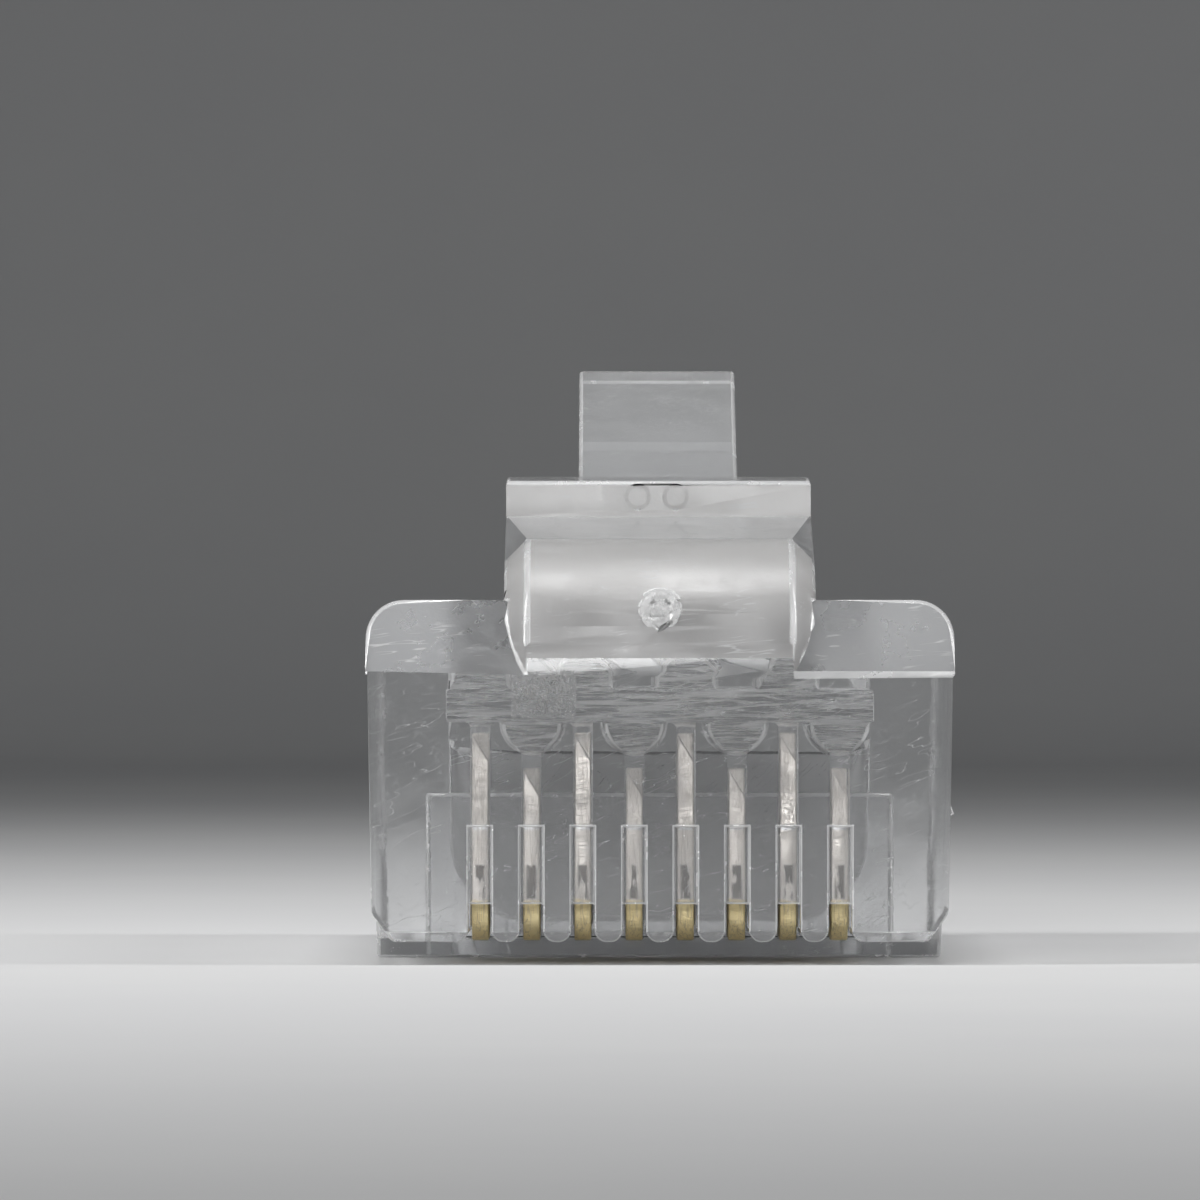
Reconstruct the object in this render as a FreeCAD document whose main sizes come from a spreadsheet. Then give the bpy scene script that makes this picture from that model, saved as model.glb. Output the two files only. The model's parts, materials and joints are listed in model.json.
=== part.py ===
"""An eight-way modular plug: one clear moulding with a spring latch, and eight blade contacts.

The plug lies on its contact side. X runs across the plug, Y from the nose to the cable entry and
Z from the contact side up to the latch. The origin is under the middle of the plug, on the
surface that it lies on. Every length is in millimetres. "Behind the nose" is measured along +Y
from the nose face, and "above the comb" along +Z from the flat face that the contacts stand in.
"""
import FreeCAD, Part
import os
import Sketcher

Vector = FreeCAD.Vector

WIRES = 8
PRONGS = 3

# the points of a curve, as the sketcher numbers them
START, END, CENTRE = 1, 2, 3

# alias: (value, what it is)
SIZES = {
    # the moulded body
    "BodyWidth": (11.68, "across the plug"),
    "BodyLength": (21.5, "nose face to cable entry"),
    "CombStep": (0.45, "the contact comb lies this far above the rear underside"),
    "NoseHeight": (6.78, "comb to the top face"),
    "FaceHeight": (5.30, "comb to the top edge of the flat nose face"),
    "LeadIn": (0.90, "the slanted top of the nose runs this far back"),
    "CombLength": (5.00, "nose face to the step down behind the comb"),
    "StepRun": (0.45, "length of the sloping step"),
    "TopRound": (0.75, "radius of the two long top edges"),
    "PartingLip": (0.04, "the upper mould half stands this proud of the lower one at their line"),
    "SideDraft": (0.10, "the side walls lean in this much from the parting line to the bottom"),
    "NoseBreak": (0.20, "small bevel along the nose's lower edge"),
    "Overshoot": (0.10, "a cutting or joining shape reaches this far past the face it meets"),
    "BevelWidth": (0.52, "corner bevel of the comb, across"),
    "BevelHeight": (0.75, "corner bevel of the comb, up"),
    # the inside
    "CavityWidth": (8.50, "inside width, cable entry to front wall"),
    "FrontWall": (1.00, "thickness of the wall at the nose"),
    "WireRadius": (0.60, "half width of one wire channel"),
    "BandLow": (4.35, "lower ridge tips, above the comb"),
    "BandHigh": (5.00, "upper ridge tips, above the comb"),
    "ChannelLow": (3.72, "bottom of the lower channels, above the comb"),
    "ChannelHigh": (5.70, "top of the upper channels, above the comb"),
    "ChannelEnd": (7.20, "channels run this far behind the nose"),
    "FunnelEnd": (10.00, "the funnel ends this far behind the nose"),
    "EntryLow": (0.75, "floor of the cable entry"),
    "EntryHigh": (6.20, "ceiling of the cable entry"),
    "EntryRound": (1.60, "corner radius of the cable entry"),
    "FunnelRound": (0.30, "corner radius at the narrow end of the funnel"),
    # the contacts and the comb that holds them
    "Pitch": (1.02, "contact to contact"),
    "BladeThick": (0.36, "thickness of a contact"),
    "SlotWidth": (0.40, "width of the slot that a contact is pressed into"),
    "SlotFront": (1.10, "front edge of the contacts behind the nose"),
    "BladeLength": (3.30, "length of a contact along the plug"),
    "SlotTop": (4.40, "slots open into the channels at this height above the comb"),
    "BladeShoulder": (2.30, "height of a contact's shoulders"),
    "TallBlade": (4.12, "height of the contacts under the upper channels"),
    "ShortBlade": (3.42, "height of the contacts under the lower channels"),
    "BladeNose": (0.55, "radius of a contact's lower front corner"),
    "ProngWidth": (0.80, "width of one piercing prong at its foot"),
    "ProngTip": (0.20, "width of one piercing prong at its tip"),
    "ProngSlant": (0.55, "drop of the slanting cut across a prong's tip"),
    "MouthWidth": (0.47, "width of the open slots between the comb ribs"),
    "MouthRound": (0.24, "rounding of the comb ribs' lower edges"),
    "RibRunOut": (0.25, "that rounding ends this far behind the contacts"),
    "WebHeight": (0.75, "lower edge of the thin web between ribs, above the comb"),
    "WebSetBack": (0.35, "the web lies this far behind the nose face"),
    "LedgeHeight": (2.30, "upper end of the open slots in the nose face"),
    # the pressing bars on the contact side
    "ReliefWidth": (9.40, "pocket behind the contacts, across"),
    "ReliefStart": (5.70, "front of that pocket behind the nose"),
    "ReliefLength": (1.60, "length of that pocket"),
    "ReliefTop": (3.35, "roof of that pocket"),
    "WindowWidth": (6.80, "window of the cable clamp, across"),
    "WindowStart": (10.60, "front of that window behind the nose"),
    "WindowLength": (4.80, "length of that window"),
    "WindowTop": (1.25, "the window cuts this high, through the rounded edges of the floor"),
    "ClampWidth": (6.30, "clamp bar, across"),
    "ClampGap": (0.60, "free gap ahead of the clamp bar"),
    "ClampLength": (2.80, "length of the clamp bar"),
    "ClampTop": (1.30, "the clamp bar stands this high at its front"),
    "HingeWeb": (0.35, "thickness of the web that the clamp bar bends on"),
    # the latch
    "LatchWidth": (6.20, "across the latch arm"),
    "RootRadius": (2.70, "radius of the latch's curved front"),
    "ArmThick": (1.00, "thickness of the arm at its root"),
    "ArmSlope": (9.50, "slope of the arm's inner face, degrees"),
    "ArmRise": (0.48, "the outer face rises this much from the root to the catch"),
    "RecessFloor": (6.80, "floor of the recess under the latch"),
    "RecessWidth": (6.60, "recess under the latch, across"),
    "RecessEnd": (15.20, "the recess ends this far behind the nose"),
    "RecessRamp": (0.30, "its end slopes back by this much"),
    "CatchStart": (7.00, "front of the raised catch behind the nose"),
    "CatchRise": (0.72, "height of the catch over the arm"),
    "CatchLean": (0.05, "the front of the catch leans back this much"),
    "ShoulderAt": (8.36, "locking shoulders behind the nose"),
    "ShoulderHigh": (9.75, "top edge of the locking shoulders"),
    "TabWidth": (3.25, "across the release tab"),
    "TabRoot": (0.40, "the tab is sunk this far into the catch"),
    "TabLean": (0.20, "the tab's inner face ends and bends this much further back"),
    "TabBend": (11.20, "the tab turns up this far behind the nose"),
    "TabBendHigh": (10.50, "outer face of the tab at its bend"),
    "TabEnd": (14.50, "end of the tab behind the nose"),
    "TabEndHigh": (12.05, "outer face of the tab at its end"),
    "TabThick": (0.90, "thickness of the tab at its bend"),
    "TabEndThick": (0.70, "thickness of the tab at its end"),
    "GateWidth": (0.80, "broken sprue on the latch's curved front, across"),
    "GateHeight": (6.56, "middle of the broken sprue, above the comb"),
    "GateFront": (0.17, "the sprue is broken off this far behind the nose"),
    "RootBevel": (0.45, "bevel down both sides of the latch's curved front"),
    "BevelFade": (0.03, "what is left of that bevel where it fades out at the catch"),
}


# ---------------------------------------------------------------- document and sheet

doc = FreeCAD.newDocument("modular_plug")


def fill_sheet():
    """Puts every size on the sheet, one row each: name, value, note."""
    table = doc.addObject("Spreadsheet::Sheet", "Sizes")
    for row, (alias, (value, note)) in enumerate(SIZES.items(), start=1):
        table.set(f"A{row}", alias)
        table.set(f"B{row}", str(value))
        table.set(f"C{row}", note)
        table.setAlias(f"B{row}", alias)
    doc.recompute()
    return table


sheet = fill_sheet()


def number(formula):
    """Works a formula out, for the first position of what it will drive."""
    result = sheet.evalExpression(str(formula))
    return float(getattr(result, "Value", result))


def size(alias):
    return f"Sizes.{alias}"


def behind(distance):
    """Y of a place that lies this far behind the nose face."""
    return f"({distance}) - Sizes.BodyLength / 2"


def above(height):
    """Z of a place that lies this far above the comb."""
    return f"({height}) + Sizes.CombStep"


def bind(target, prop, formula):
    target.setExpression(prop, str(formula))


# ---------------------------------------------------------------- sketches and features


def new_body(name):
    body = doc.addObject("PartDesign::Body", name)
    body.Label = name
    return body


def origin_feature(body, role):
    return next(item for item in body.Origin.OriginFeatures if item.Role == role)


def new_sketch(body, name, plane, offset=None):
    """A sketch on one of the body's own planes: YZ_Plane (Y, Z), XZ_Plane (X, Z), XY_Plane (X, Y)."""
    sketch = body.newObject("Sketcher::SketchObject", name)
    sketch.AttachmentSupport = [(origin_feature(body, plane), "")]
    sketch.MapMode = "FlatFace"
    if offset is not None:
        bind(sketch, "AttachmentOffset.Base.z", offset)
    return sketch


def tie(sketch, kind, geometry, vertex, formula):
    """Holds one coordinate of a point, measured from the sketch's origin, to its formula."""
    constraint = Sketcher.Constraint(kind, -1, 1, geometry, vertex, number(formula))
    index = sketch.addConstraint(constraint)
    bind(sketch, f"Constraints[{index}]", formula)


def arc_between(start, end, centre):
    """The shorter arc from start to end. A half turn keeps to the left of its chord's direction."""
    chord = end - start
    outward = (start + end) * 0.5 - centre
    radius = (start - centre).Length
    if outward.Length < 1e-6:
        outward = Vector(-chord.y, chord.x, 0)
    outward.normalize()
    return Part.Arc(start, centre + outward * radius, end)


def draw_outline(sketch, corners):
    """Draws a closed outline. A corner is (across, up), or (across, up, centre across, centre up)
    where an arc about that centre leads on to the next corner."""
    places = [Vector(number(corner[0]), number(corner[1]), 0) for corner in corners]
    first = sketch.GeometryCount
    total = len(corners)
    for index, corner in enumerate(corners):
        start, end = places[index], places[(index + 1) % total]
        if len(corner) == 4:
            centre = Vector(number(corner[2]), number(corner[3]), 0)
            sketch.addGeometry(arc_between(start, end, centre))
        else:
            sketch.addGeometry(Part.LineSegment(start, end))
    # a curve built from three points may run backwards, so its start is looked up
    starts = []
    for index in range(total):
        begin = sketch.getPoint(first + index, START)
        forwards = begin.distanceToPoint(places[index]) < 1e-6
        starts.append((START, END) if forwards else (END, START))
    for index in range(total):
        following = (index + 1) % total
        sketch.addConstraint(Sketcher.Constraint(
            "Coincident", first + index, starts[index][1], first + following, starts[following][0]))
    for index, corner in enumerate(corners):
        tie(sketch, "DistanceX", first + index, starts[index][0], corner[0])
        tie(sketch, "DistanceY", first + index, starts[index][0], corner[1])
        if len(corner) == 4:
            chord = places[(index + 1) % total] - places[index]
            upright = abs(chord.y) > abs(chord.x)
            kind, formula = ("DistanceX", corner[2]) if upright else ("DistanceY", corner[3])
            tie(sketch, kind, first + index, CENTRE, formula)


def profile_feature(kind, body, name, plane, corners, length, offset=None, midplane=True,
                    reversed_=False):
    """A pad or pocket of one outline."""
    sketch = new_sketch(body, name + "_outline", plane, offset)
    draw_outline(sketch, corners)
    feature = body.newObject(kind, name)
    feature.Profile = (sketch, [""])
    bind(feature, "Length", length)
    if midplane:
        feature.SideType = "Symmetric"
    feature.Reversed = reversed_
    body.Tip = feature
    return feature


def pad(body, name, plane, corners, length, **options):
    return profile_feature("PartDesign::Pad", body, name, plane, corners, length, **options)


def pocket(body, name, plane, corners, length, **options):
    return profile_feature("PartDesign::Pocket", body, name, plane, corners, length, **options)


def repeat_across(body, name, feature, occurrences, span):
    """Repeats a feature along +X over a span."""
    pattern = body.newObject("PartDesign::LinearPattern", name)
    pattern.Originals = [feature]
    pattern.Direction = (origin_feature(body, "X_Axis"), [""])
    pattern.Mode = "Extent"
    pattern.Occurrences = occurrences
    bind(pattern, "Length", span)
    body.Tip = pattern
    return pattern


def rounded_section(half_width, low, high, radius):
    """Corners of an upright rounded rectangle, in X and Z."""
    right, left = f"({half_width})", f"-({half_width})"
    inner_right, inner_left = f"({half_width}) - ({radius})", f"({radius}) - ({half_width})"
    low_in, high_in = f"({low}) + ({radius})", f"({high}) - ({radius})"
    return [
        (inner_left, low),
        (inner_right, low, inner_right, low_in),
        (right, low_in),
        (right, high_in, inner_right, high_in),
        (inner_right, high),
        (inner_left, high, inner_left, high_in),
        (left, high_in),
        (left, low_in, inner_left, low_in),
    ]


# ---------------------------------------------------------------- the moulded housing


def body_block(body):
    """The body's side view, padded across: nose face, slanted top, comb and the step behind it."""
    top = above(size("NoseHeight"))
    pad(body, "block", "YZ_Plane", [
        (behind("0"), above(size("NoseBreak"))),
        (behind("0"), above(size("FaceHeight"))),
        (behind(size("LeadIn")), top),
        (behind(size("BodyLength")), top),
        (behind(size("BodyLength")), "0"),
        (behind("Sizes.CombLength + Sizes.StepRun"), "0"),
        (behind(size("CombLength")), above("0")),
        (behind(size("NoseBreak")), above("0")),
    ], size("BodyWidth"))


def round_top_edges(body):
    """Rounds the two long top edges, along the whole plug."""
    top, radius = above(size("NoseHeight")), size("TopRound")
    for name, sign in (("left_round", "-"), ("right_round", "")):
        edge, inner = f"{sign}(Sizes.BodyWidth / 2)", f"{sign}(Sizes.BodyWidth / 2 - Sizes.TopRound)"
        beyond = f"{sign}(Sizes.BodyWidth / 2 + Sizes.TopRound)"
        pocket(body, name, "XZ_Plane", [
            (edge, f"{top} - {radius}", inner, f"{top} - {radius}"),
            (inner, top),
            (inner, f"{top} + {radius}"),
            (beyond, f"{top} + {radius}"),
            (beyond, f"{top} - {radius}"),
        ], size("BodyLength"), offset="Sizes.BodyLength / 2", midplane=False)


def draft_sides(body):
    """Leans both side walls in below the parting line, which leaves a small lip along it."""
    for name, sign in (("left_draft", "-"), ("right_draft", "")):
        lip = f"{sign}(Sizes.BodyWidth / 2 - Sizes.PartingLip)"
        foot = f"{sign}(Sizes.BodyWidth / 2 - Sizes.PartingLip - Sizes.SideDraft)"
        beyond = f"{sign}(Sizes.BodyWidth / 2 + Sizes.SideDraft)"
        pocket(body, name, "XZ_Plane", [
            (lip, above(size("FaceHeight"))),
            (foot, "0"),
            (beyond, "0"),
            (beyond, above(size("FaceHeight"))),
        ], size("BodyLength"), offset="Sizes.BodyLength / 2", midplane=False)


def bevel_comb_corners(body):
    """Cuts the two lower corners of the nose, as far back as the step."""
    for name, sign in (("left_bevel", "-"), ("right_bevel", "")):
        edge, inner = f"{sign}(Sizes.BodyWidth / 2)", f"{sign}(Sizes.BodyWidth / 2 - Sizes.BevelWidth)"
        beyond = f"{sign}(Sizes.BodyWidth / 2 + Sizes.BevelWidth)"
        pocket(body, name, "XZ_Plane", [
            (edge, above(size("BevelHeight"))),
            (inner, above("0")),
            (inner, above("-Sizes.BevelHeight")),
            (beyond, above("-Sizes.BevelHeight")),
            (beyond, above(size("BevelHeight"))),
        ], size("CombLength"), offset="Sizes.BodyLength / 2", midplane=False)


def latch_root(body):
    """The quarter-round front that the latch arm springs from: a bar with two bevelled edges,
    turned through 90 degrees about its foot, so that it starts flush with the nose face."""
    sketch = new_sketch(body, "latch_root_outline", "XZ_Plane",
                        offset="Sizes.BodyLength / 2 - Sizes.RootRadius")
    bind(sketch, "AttachmentOffset.Base.y", above(size("FaceHeight")))
    half, inner = "Sizes.LatchWidth / 2", "(Sizes.LatchWidth / 2 - Sizes.RootBevel)"
    draw_outline(sketch, [
        (f"-{half}", "0"),
        (half, "0"),
        (half, "Sizes.RootRadius - Sizes.RootBevel"),
        (inner, size("RootRadius")),
        (f"-{inner}", size("RootRadius")),
        (f"-{half}", "Sizes.RootRadius - Sizes.RootBevel"),
    ])
    turn = body.newObject("PartDesign::Revolution", "latch_root")
    turn.Profile = (sketch, [""])
    turn.ReferenceAxis = (sketch, ["H_Axis"])
    turn.Angle = 90
    body.Tip = turn


def sprue_mark(body):
    """The broken-off sprue: a short round stub on the latch's curved front."""
    sketch = new_sketch(body, "sprue_mark_outline", "XZ_Plane",
                        offset="Sizes.BodyLength / 2 - Sizes.RootRadius / 2")
    height = above(size("GateHeight"))
    radius = number("Sizes.GateWidth / 2")
    sketch.addGeometry(Part.Circle(Vector(0, number(height), 0), Vector(0, 0, 1), radius))
    tie(sketch, "DistanceX", 0, CENTRE, "0")
    tie(sketch, "DistanceY", 0, CENTRE, height)
    round_ = sketch.addConstraint(Sketcher.Constraint("Radius", 0, radius))
    bind(sketch, f"Constraints[{round_}]", "Sizes.GateWidth / 2")
    stub = body.newObject("PartDesign::Pad", "sprue_mark")
    stub.Profile = (sketch, [""])
    bind(stub, "Length", "Sizes.RootRadius / 2 - Sizes.GateFront")
    body.Tip = stub


def recess_under_latch(body):
    """The round-ended slot behind the latch's root, and the recess that the pressed latch sinks into."""
    arm_inner = above("Sizes.FaceHeight + Sizes.RootRadius - Sizes.ArmThick")
    middle = f"(({arm_inner}) + Sizes.RecessFloor) / 2"
    root = behind(size("RootRadius"))
    pocket(body, "latch_recess", "YZ_Plane", [
        (root, size("RecessFloor"), root, middle),
        (root, arm_inner),
        (root, above("Sizes.NoseHeight + Sizes.RootRadius")),
        (behind("Sizes.RecessEnd + Sizes.RecessRamp"), above("Sizes.NoseHeight + Sizes.RootRadius")),
        (behind("Sizes.RecessEnd + Sizes.RecessRamp"), above(size("NoseHeight"))),
        (behind(size("RecessEnd")), size("RecessFloor")),
    ], size("RecessWidth"))


def cable_entry(body):
    """The cable's way in: a rounded hall that narrows to the height of the wire channels."""
    stations = [
        ("entry", "Sizes.BodyLength + Sizes.Overshoot", "EntryLow", "EntryHigh", "EntryRound"),
        ("hall_end", "Sizes.FunnelEnd", "EntryLow", "EntryHigh", "EntryRound"),
        ("funnel_end", "Sizes.ChannelEnd", "ChannelLow", "ChannelHigh", "FunnelRound"),
    ]
    sketches = []
    for name, place, low, high, radius in stations:
        lift = above if low == "ChannelLow" else str
        sketch = new_sketch(body, name, "XZ_Plane", offset=f"Sizes.BodyLength / 2 - ({place})")
        draw_outline(sketch, rounded_section(
            "Sizes.CavityWidth / 2", lift(size(low)), lift(size(high)), size(radius)))
        sketches.append(sketch)
    loft = body.newObject("PartDesign::SubtractiveLoft", "cable_entry")
    loft.Profile = (sketches[0], [""])
    loft.Sections = [(sketch, [""]) for sketch in sketches[1:]]
    loft.Ruled = True
    body.Tip = loft


def wire_channels(body):
    """Eight channels in two staggered rows, joined by the open band between their ridges."""
    start = "Sizes.BodyLength / 2 - Sizes.FrontWall"
    length = "Sizes.ChannelEnd + Sizes.Overshoot - Sizes.FrontWall"
    half = "Sizes.CavityWidth / 2"
    pocket(body, "wire_band", "XZ_Plane", [
        (f"-{half}", above(size("BandLow"))),
        (half, above(size("BandLow"))),
        (half, above(size("BandHigh"))),
        (f"-{half}", above(size("BandHigh"))),
    ], length, offset=start, midplane=False)
    rows = [
        ("upper_channels", "-3.5 * Sizes.Pitch", "BandHigh", "Sizes.ChannelHigh - Sizes.WireRadius", 1),
        ("lower_channels", "-2.5 * Sizes.Pitch", "BandLow", "Sizes.ChannelLow + Sizes.WireRadius", -1),
    ]
    for name, middle, band, axis_height, turn in rows:
        near, far = f"{middle} - Sizes.WireRadius", f"{middle} + Sizes.WireRadius"
        mouth = above(f"Sizes.{band} - {turn} * Sizes.Overshoot")
        arc_start, arc_end = (near, far) if turn > 0 else (far, near)
        first = pocket(body, name, "XZ_Plane", [
            (arc_start, above(axis_height), middle, above(axis_height)),
            (arc_end, above(axis_height)),
            (arc_end, mouth),
            (arc_start, mouth),
        ], length, offset=start, midplane=False)
        repeat_across(body, name + "_row", first, WIRES // 2, "6 * Sizes.Pitch")


def contact_slots(body):
    """For each contact: the slot it is pressed into, the open mouth ahead of it, and rounded rib edges."""
    first = "-3.5 * Sizes.Pitch"
    span = "7 * Sizes.Pitch"

    slot = pocket(body, "slot", "XY_Plane", [
        (f"{first} - Sizes.SlotWidth / 2", behind(size("SlotFront"))),
        (f"{first} + Sizes.SlotWidth / 2", behind(size("SlotFront"))),
        (f"{first} + Sizes.SlotWidth / 2", behind("Sizes.SlotFront + Sizes.BladeLength")),
        (f"{first} - Sizes.SlotWidth / 2", behind("Sizes.SlotFront + Sizes.BladeLength")),
    ], "Sizes.SlotTop + Sizes.CombStep", midplane=False, reversed_=True)
    repeat_across(body, "slots", slot, WIRES, span)

    mouth = pocket(body, "mouth", "YZ_Plane", [
        (behind("-Sizes.Overshoot"), "0"),
        (behind("Sizes.SlotFront + Sizes.Overshoot"), "0"),
        (behind("Sizes.SlotFront + Sizes.Overshoot"), above(size("WebHeight"))),
        (behind(size("WebSetBack")), above(size("WebHeight"))),
        (behind(size("WebSetBack")), above(size("LedgeHeight"))),
        (behind("-Sizes.Overshoot"), above(size("LedgeHeight"))),
    ], size("MouthWidth"), offset=first)
    repeat_across(body, "mouths", mouth, WIRES, span)

    half, edge = "Sizes.MouthWidth / 2", "(Sizes.MouthWidth / 2 + Sizes.MouthRound)"
    rib_edge = pocket(body, "rib_edge", "XZ_Plane", [
        (f"{first} - {edge}", above("-Sizes.Overshoot")),
        (f"{first} + {edge}", above("-Sizes.Overshoot")),
        (f"{first} + {edge}", above("0"), f"{first} + {edge}", above(size("MouthRound"))),
        (f"{first} + {half}", above(size("MouthRound"))),
        (f"{first} - {half}", above(size("MouthRound")),
         f"{first} - {edge}", above(size("MouthRound"))),
        (f"{first} - {edge}", above("0")),
    ], "Sizes.SlotFront + Sizes.BladeLength + Sizes.RibRunOut", offset="Sizes.BodyLength / 2",
        midplane=False)
    repeat_across(body, "rib_edges", rib_edge, WIRES, span)


def wire_relief(body):
    """The deep cross pocket behind the contacts, where the bar over the wires is pressed in."""
    pocket(body, "wire_relief", "YZ_Plane", [
        (behind(size("ReliefStart")), "-Sizes.Overshoot"),
        (behind("Sizes.ReliefStart + Sizes.ReliefLength"), "-Sizes.Overshoot"),
        (behind("Sizes.ReliefStart + Sizes.ReliefLength"), size("ReliefTop")),
        (behind(size("ReliefStart")), size("ReliefTop")),
    ], size("ReliefWidth"))


def cable_clamp(body):
    """The window in the floor of the cable entry, and the bar in it that is bent in over the cable."""
    window_end = "Sizes.WindowStart + Sizes.WindowLength"
    pocket(body, "clamp_window", "YZ_Plane", [
        (behind(size("WindowStart")), "-Sizes.Overshoot"),
        (behind(window_end), "-Sizes.Overshoot"),
        (behind(window_end), size("WindowTop")),
        (behind(size("WindowStart")), size("WindowTop")),
    ], size("WindowWidth"))
    bar_front = "Sizes.WindowStart + Sizes.ClampGap"
    web_low = "Sizes.EntryLow - Sizes.HingeWeb"
    pad(body, "clamp_bar", "YZ_Plane", [
        (behind(bar_front), "0"),
        (behind(f"{bar_front} + Sizes.ClampLength"), "0"),
        (behind(f"{bar_front} + Sizes.ClampLength"), web_low),
        (behind(f"{window_end} + Sizes.Overshoot"), web_low),
        (behind(f"{window_end} + Sizes.Overshoot"), size("EntryLow")),
        (behind(f"{bar_front} + Sizes.ClampLength"), size("EntryLow")),
        (behind(bar_front), size("ClampTop")),
    ], size("ClampWidth"))


def make_housing():
    body = new_body("housing")
    body_block(body)
    round_top_edges(body)
    draft_sides(body)
    bevel_comb_corners(body)
    latch_root(body)
    sprue_mark(body)
    recess_under_latch(body)
    cable_entry(body)
    wire_channels(body)
    contact_slots(body)
    wire_relief(body)
    cable_clamp(body)
    return body


# ---------------------------------------------------------------- the latch


def fade_bevels(body, crown, catch_foot):
    """Carries the root's side bevels on along the arm, fading out at the catch."""
    for name, sign in (("left_fade", "-"), ("right_fade", "")):
        sketches = []
        stations = [("root", size("RootRadius"), crown, size("RootBevel")),
                    ("catch", size("CatchStart"), catch_foot, size("BevelFade"))]
        for station, place, height, bevel in stations:
            edge = f"{sign}(Sizes.LatchWidth / 2 + Sizes.Overshoot)"
            inner = f"{sign}(Sizes.LatchWidth / 2 - {bevel})"
            sketch = new_sketch(body, f"{name}_{station}", "XZ_Plane",
                                offset=f"Sizes.BodyLength / 2 - {place}")
            draw_outline(sketch, [
                (edge, f"{height} + Sizes.Overshoot"),
                (edge, f"{height} - {bevel} - Sizes.Overshoot"),
                (inner, f"{height}"),
                (inner, f"{height} + Sizes.Overshoot"),
            ])
            sketches.append(sketch)
        loft = body.newObject("PartDesign::SubtractiveLoft", name)
        loft.Profile = (sketches[0], [""])
        loft.Sections = [(sketches[1], [""])]
        loft.Ruled = True
        body.Tip = loft


def make_latch():
    """The sprung arm behind the root: thin arm, raised catch with two shoulders, narrow release tab."""
    body = new_body("latch")
    root = behind(size("RootRadius"))
    crown = "(Sizes.CombStep + Sizes.FaceHeight + Sizes.RootRadius)"
    arm_inner = f"({crown} - Sizes.ArmThick)"
    shoulder_low = f"{arm_inner} + (Sizes.ShoulderAt - Sizes.RootRadius) * tan(Sizes.ArmSlope * 1 deg)"
    catch_foot = f"{crown} + Sizes.ArmRise"
    pad(body, "arm", "YZ_Plane", [
        (root, arm_inner),
        (root, crown),
        (behind(size("CatchStart")), catch_foot),
        (behind("Sizes.CatchStart + Sizes.CatchLean"), f"{catch_foot} + Sizes.CatchRise"),
        (behind(size("ShoulderAt")), size("ShoulderHigh")),
        (behind(size("ShoulderAt")), shoulder_low),
    ], size("LatchWidth"))
    fade_bevels(body, crown, catch_foot)
    pad(body, "tab", "YZ_Plane", [
        (behind("Sizes.ShoulderAt - Sizes.TabRoot"), f"{shoulder_low} + Sizes.Overshoot"),
        (behind("Sizes.ShoulderAt - Sizes.TabRoot"), "Sizes.ShoulderHigh - Sizes.Overshoot"),
        (behind(size("ShoulderAt")), size("ShoulderHigh")),
        (behind(size("TabBend")), size("TabBendHigh")),
        (behind(size("TabEnd")), size("TabEndHigh")),
        (behind("Sizes.TabEnd + Sizes.TabLean"), "Sizes.TabEndHigh - Sizes.TabEndThick"),
        (behind("Sizes.TabBend + Sizes.TabLean"), "Sizes.TabBendHigh - Sizes.TabThick"),
        (behind(size("ShoulderAt")), shoulder_low),
    ], size("TabWidth"))
    return body


# ---------------------------------------------------------------- the contacts


def make_contact(number_, height):
    """One blade: a rounded running edge below, shoulders, and three prongs that pierce the wire."""
    body = new_body(f"contact_{number_}")
    bind(body, "Placement.Base.x", f"({number_} - 4.5) * Sizes.Pitch")
    front, back = size("SlotFront"), "(Sizes.SlotFront + Sizes.BladeLength)"
    shoulder, tip = above(size("BladeShoulder")), above(height)
    corners = [
        (behind(f"{front} + Sizes.BladeNose"), above("0"),
         behind(f"{front} + Sizes.BladeNose"), above(size("BladeNose"))),
        (behind(front), above(size("BladeNose"))),
        (behind(front), shoulder),
    ]
    for prong in range(PRONGS):
        middle = f"{front} + Sizes.BladeLength * ({prong} + 1 / 2) / {PRONGS}"
        corners += [
            (behind(f"{middle} - Sizes.ProngWidth / 2"), shoulder),
            (behind(f"{middle} - Sizes.ProngTip / 2"), tip),
            (behind(f"{middle} + Sizes.ProngTip / 2"), tip),
            (behind(f"{middle} + Sizes.ProngWidth / 2"), shoulder),
        ]
    corners += [
        (behind(back), shoulder),
        (behind(back), above("0")),
    ]
    pad(body, "blade", "YZ_Plane", corners, size("BladeThick"))
    sharpen_prongs(body, height)
    return body


def sharpen_prongs(body, height):
    """Cuts the tips of the outer two prongs slanting, one to each side. The middle one stays square."""
    cuts = [("front_slant", 0, 1), ("back_slant", PRONGS - 1, -1)]
    for name, prong, side in cuts:
        corners = [
            (f"{-side} * Sizes.BladeThick / 2", above(height)),
            (f"{side} * Sizes.BladeThick / 2", above(f"{height} - Sizes.ProngSlant")),
            (f"{side} * Sizes.BladeThick", above(f"{height} - Sizes.ProngSlant")),
            (f"{side} * Sizes.BladeThick", above(f"{height} + Sizes.Overshoot")),
            (f"{-side} * Sizes.BladeThick / 2", above(f"{height} + Sizes.Overshoot")),
        ]
        start = f"Sizes.BodyLength / 2 - Sizes.SlotFront - Sizes.BladeLength * {prong} / {PRONGS}"
        pocket(body, name, "XZ_Plane", corners, f"Sizes.BladeLength / {PRONGS}", offset=start,
               midplane=False)


# ---------------------------------------------------------------- build, check, write


def make_contacts():
    contacts = []
    for number_ in range(1, WIRES + 1):
        tall = number_ % 2 == 1
        contacts.append(make_contact(number_, size("TallBlade" if tall else "ShortBlade")))
    return contacts


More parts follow.
